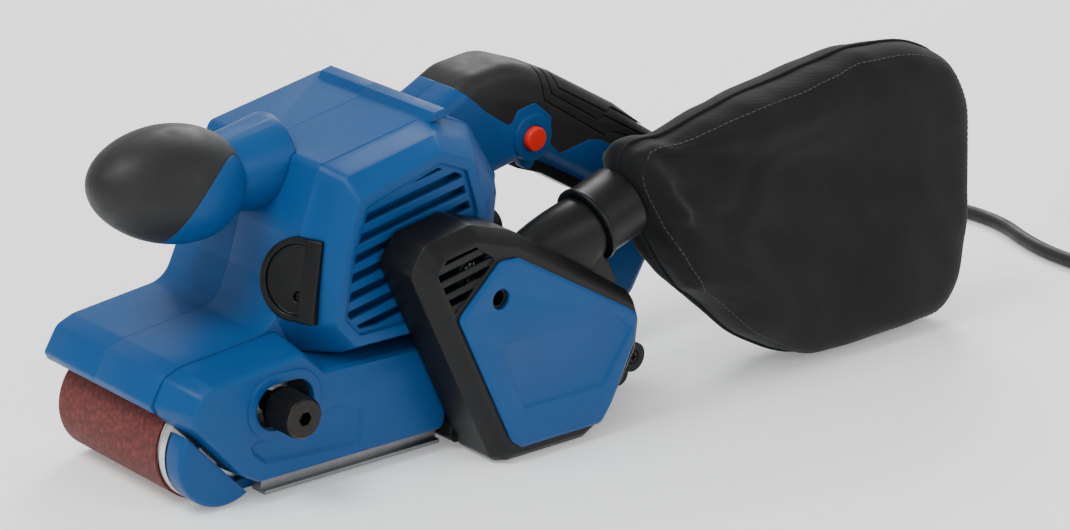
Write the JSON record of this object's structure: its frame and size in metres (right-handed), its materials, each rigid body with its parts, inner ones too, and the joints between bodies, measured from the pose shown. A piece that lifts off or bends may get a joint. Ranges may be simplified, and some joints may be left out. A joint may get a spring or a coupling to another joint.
{
  "type": "belt sander",
  "caption": "Handheld belt sander with a transverse motor, side belt drive, round front knob, D-shaped rear handle and a side dust bag.",
  "frame": {"origin": "centre of the flat sanding face, on the belt's outer surface, midway between the two roller axles", "axes": "front of the machine along -X, left side with the drive cover along -Y, up +Z"},
  "size_m": [0.8093, 0.1993, 0.1668],
  "materials": {
    "blue_housing": "satin moulded nylon",
    "black_housing": "satin moulded nylon",
    "soft_grip": "matte soft grip rubber",
    "cord_sheath": "matte rubber sheath",
    "red_button": "gloss plastic",
    "bag_fabric": "brushed woven dust cloth",
    "abrasive": "coated abrasive cloth",
    "cast_alloy": "fine cast",
    "dark_steel": "black oxide",
    "bright_steel": "ground",
    "copper_winding": "enamelled wire and copper bars",
    "carbon": "pressed carbon",
    "plug_brass": "nickel free brass"
  },
  "bodies": {
    "machine": {"sanding_belt": "abrasive", "chassis": "cast_alloy", "platen_cushion": "soft_grip", "platen_plate": "bright_steel", "lever_pivot_pin": "bright_steel", "tension_spring": "bright_steel", "drive_shaft_bearings": "bright_steel", "toothed_drive_belt": "soft_grip", "stator_core": "bright_steel", "stator_windings": "copper_winding", "motor_bearings": "bright_steel", "carbon_brushes": "carbon", "brush_holders": "black_housing", "housing_left": "blue_housing", "housing_right": "blue_housing", "case_screws": "dark_steel", "brush_cap_front": "black_housing", "brush_cap_rear": "black_housing", "side_panel": "blue_housing", "edge_strip": "bright_steel", "roller_guard": "blue_housing", "drive_cover_base": "black_housing", "drive_cover_panel": "blue_housing", "drive_cover_screws": "dark_steel", "dust_duct": "black_housing", "knob_core": "blue_housing", "knob_grip_left": "soft_grip", "knob_grip_right": "soft_grip", "handle_left": "blue_housing", "handle_right": "blue_housing", "handle_grip": "soft_grip", "trigger_pin": "bright_steel", "switch_body": "black_housing", "cord_guard": "soft_grip", "power_cord": "cord_sheath", "cord_coil": "cord_sheath", "plug_body": "black_housing", "plug_pins": "plug_brass"},
    "carriage_slide": {"tension_slide": "cast_alloy", "fork_pivot_pin": "bright_steel"},
    "carriage_fork": {"front_fork": "cast_alloy", "front_axle": "bright_steel"},
    "nose_roller": {"front_roller": "cast_alloy", "front_roller_bearings": "bright_steel"},
    "tracking_screw": {"tracking_knob": "black_housing"},
    "release_lever": {"tension_lever": "black_housing"},
    "drive_train": {"drive_roller_core": "cast_alloy", "drive_roller_lagging": "soft_grip", "drive_shaft": "bright_steel", "driven_pulley": "bright_steel"},
    "rotor": {"motor_shaft": "bright_steel", "armature_core": "bright_steel", "armature_windings": "copper_winding", "commutator": "copper_winding", "cooling_fan": "black_housing", "motor_pulley": "bright_steel"},
    "switch_trigger": {"trigger": "black_housing"},
    "lock_button": {"lock_button": "red_button"},
    "dust_collector": {"bag_collar": "black_housing", "dust_bag": "bag_fabric"}
  },
  "joints": [
    {"name": "belt_tension", "type": "slide", "parent": "machine", "child": "carriage_slide", "axis": [1, 0, 0], "range_m": [0, 0.007], "deforming": ["tension_spring"]},
    {"name": "belt_tracking", "type": "hinge", "parent": "carriage_slide", "child": "carriage_fork", "pos_m": [-0.0603, 0, 0.0262], "axis": [0, 0, 1], "range_deg": [-0.5, 0.5]},
    {"name": "nose_roller_spin", "type": "hinge", "parent": "carriage_fork", "child": "nose_roller", "pos_m": [-0.092, 0, 0.0262], "axis": [0, 1, 0], "continuous": true},
    {"name": "tracking_screw_turn", "type": "hinge", "parent": "carriage_slide", "child": "tracking_screw", "pos_m": [-0.069, -0.05, 0.0467], "axis": [0, 1, 0], "range_deg": [-28, 28]},
    {"name": "release_lever_swing", "type": "hinge", "parent": "machine", "child": "release_lever", "pos_m": [0.0077, 0.028, 0.0262], "axis": [0, 0, 1], "range_deg": [0, 90]},
    {"name": "drive_roller_spin", "type": "hinge", "parent": "machine", "child": "drive_train", "pos_m": [0.092, 0, 0.0262], "axis": [0, 1, 0], "continuous": true},
    {"name": "rotor_spin", "type": "hinge", "parent": "machine", "child": "rotor", "pos_m": [0.023, 0, 0.097], "axis": [0, 1, 0], "continuous": true},
    {"name": "trigger_swing", "type": "hinge", "parent": "machine", "child": "switch_trigger", "pos_m": [0.119, 0, 0.1125], "axis": [0, -1, 0], "range_deg": [0, 7], "stiffness_Nm_per_rad": 1, "springref_deg": -2.86},
    {"name": "lock_button_press", "type": "slide", "parent": "machine", "child": "lock_button", "axis": [0, 1, 0], "range_m": [0, 0.003], "stiffness_N_per_m": 300, "springref_m": -0.001},
    {"name": "bag_pull", "type": "slide", "parent": "machine", "child": "dust_collector", "axis": [0.9397, 0, 0.342], "range_m": [0, 0.022]}
  ],
  "couplings": [
    {"joint": "nose_roller_spin", "follows": "drive_roller_spin", "ratio": 1},
    {"joint": "rotor_spin", "follows": "drive_roller_spin", "ratio": 3},
    {"joint": "tracking_screw_turn", "follows": "belt_tracking", "ratio": -54.66},
    {"joint": "release_lever_swing", "follows": "belt_tension", "rad_per_m": 224.4}
  ]
}
